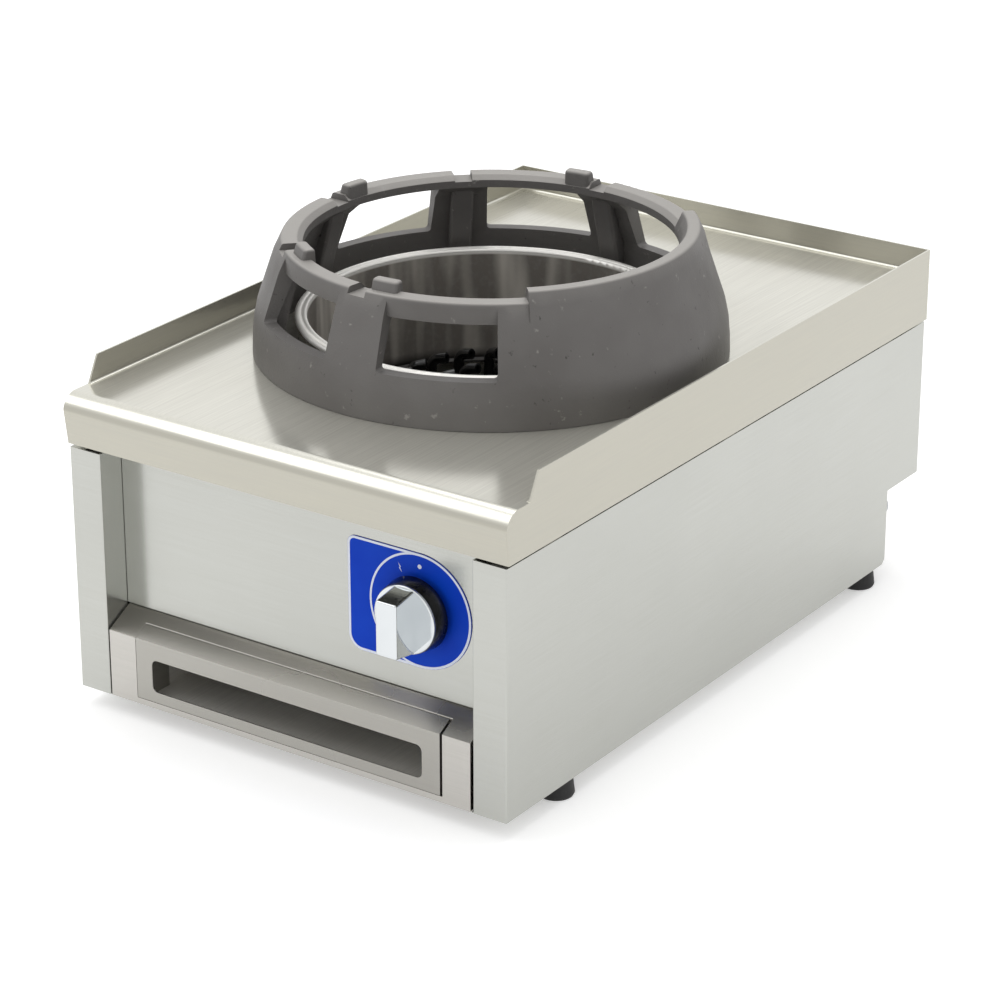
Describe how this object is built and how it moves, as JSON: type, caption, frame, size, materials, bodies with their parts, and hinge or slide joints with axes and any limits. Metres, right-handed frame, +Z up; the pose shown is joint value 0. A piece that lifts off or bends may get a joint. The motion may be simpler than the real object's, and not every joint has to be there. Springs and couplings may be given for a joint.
{
  "type": "countertop gas wok range",
  "caption": "Countertop gas wok range with a cast ring over a sunken burner, a push-and-turn gas tap and a drip-tray drawer.",
  "frame": {"origin": "under the middle of the whole range, on the surface that the feet stand on", "axes": "+Z up, +X to the cook's right, -Y towards the cook"},
  "size_m": [0.398, 0.618, 0.3515],
  "materials": {
    "stainless": "satin cold-rolled stainless sheet",
    "stainless_hidden": "plain stainless sheet, inside",
    "insert_steel": "bright spun stainless, heat marked",
    "ring_iron": "bare grey cast iron, matt with scuffs",
    "burner_iron": "dark cast iron",
    "jet_iron": "black glossy cast jets",
    "knob_chrome": "polished chrome",
    "knob_dark": "black gloss ring",
    "dial_blue": "blue dial plate, satin",
    "dial_print": "white print",
    "plated_steel": "zinc-plated steel",
    "brass": "turned brass",
    "pipe_steel": "drawn steel pipe",
    "copper": "copper tube",
    "foot_black": "black moulded foot",
    "piezo_plastic": "black moulded housing",
    "ceramic_white": "white glazed ceramic",
    "lead_red": "silicone lead"
  },
  "bodies": {
    "range": {"worktop": "stainless", "side_panel_right": "stainless", "side_panel_left": "stainless", "worktop_spacers": "stainless_hidden", "base_plate": "stainless_hidden", "rear_panel_lower": "stainless_hidden", "rear_panel_upper": "stainless", "rear_screws": "plated_steel", "front_frame": "stainless", "control_panel": "stainless", "dial_plate": "dial_blue", "dial_marks": "dial_print", "tap_bracket": "stainless_hidden", "tap_bonnet": "brass", "tap_body": "brass", "bonnet_screws": "plated_steel", "magnet_unit": "brass", "piezo_unit": "piezo_plastic", "gas_feed_pipe": "pipe_steel", "burner_feed_pipe": "copper", "gas_inlet": "plated_steel", "inlet_nut": "plated_steel", "earth_stud": "brass", "injector_holder": "stainless_hidden", "injector": "brass", "mixing_tube": "burner_iron", "burner_casting": "burner_iron", "jets_outer": "jet_iron", "jets_inner": "jet_iron", "burner_bar": "stainless_hidden", "burner_insert": "insert_steel", "runner_left": "stainless_hidden", "runner_right": "stainless_hidden", "heat_shield": "stainless_hidden", "pilot_bracket": "stainless_hidden", "pilot_burner": "brass", "pilot_tube": "copper", "thermocouple": "copper", "spark_electrode": "ceramic_white", "spark_lead": "lead_red", "foot_nuts": "plated_steel"},
    "drawer": {"drawer_front": "stainless", "drip_tray": "stainless_hidden", "drawer_brackets": "stainless_hidden"},
    "plug": {"tap_plug": "brass", "tap_spring": "plated_steel"},
    "knob": {"knob_body": "knob_chrome", "knob_band": "knob_dark", "spindle": "plated_steel"},
    "shutter": {"air_shutter": "plated_steel", "shutter_screw": "plated_steel"},
    "wok_ring": {"wok_ring": "ring_iron"},
    "foot_front_left": {"foot_front_left": "foot_black"},
    "foot_front_right": {"foot_front_right": "foot_black"},
    "foot_rear_left": {"foot_rear_left": "foot_black"},
    "foot_rear_right": {"foot_rear_right": "foot_black"}
  },
  "joints": [
    {"name": "drawer_slide", "type": "slide", "parent": "range", "child": "drawer", "axis": [0, -1, 0], "range_m": [0, 0.42]},
    {"name": "knob_turn", "type": "hinge", "parent": "range", "child": "plug", "pos_m": [0.1065, -0.247, 0.1485], "axis": [0, -1, 0], "range_deg": [0, 150]},
    {"name": "knob_push", "type": "slide", "parent": "plug", "child": "knob", "axis": [0, 1, 0], "range_m": [0, 0.004], "stiffness_N_per_m": 1200},
    {"name": "shutter_slide", "type": "slide", "parent": "range", "child": "shutter", "axis": [0, -1, 0], "range_m": [0, 0.01]},
    {"name": "ring_lift", "type": "slide", "parent": "range", "child": "wok_ring", "axis": [0, 0, 1], "range_m": [0, 0.12]},
    {"name": "foot_front_left_level", "type": "slide", "parent": "range", "child": "foot_front_left", "axis": [0, 0, -1], "range_m": [0, 0.012]},
    {"name": "foot_front_right_level", "type": "slide", "parent": "range", "child": "foot_front_right", "axis": [0, 0, -1], "range_m": [0, 0.012]},
    {"name": "foot_rear_left_level", "type": "slide", "parent": "range", "child": "foot_rear_left", "axis": [0, 0, -1], "range_m": [0, 0.012]},
    {"name": "foot_rear_right_level", "type": "slide", "parent": "range", "child": "foot_rear_right", "axis": [0, 0, -1], "range_m": [0, 0.012]}
  ]
}
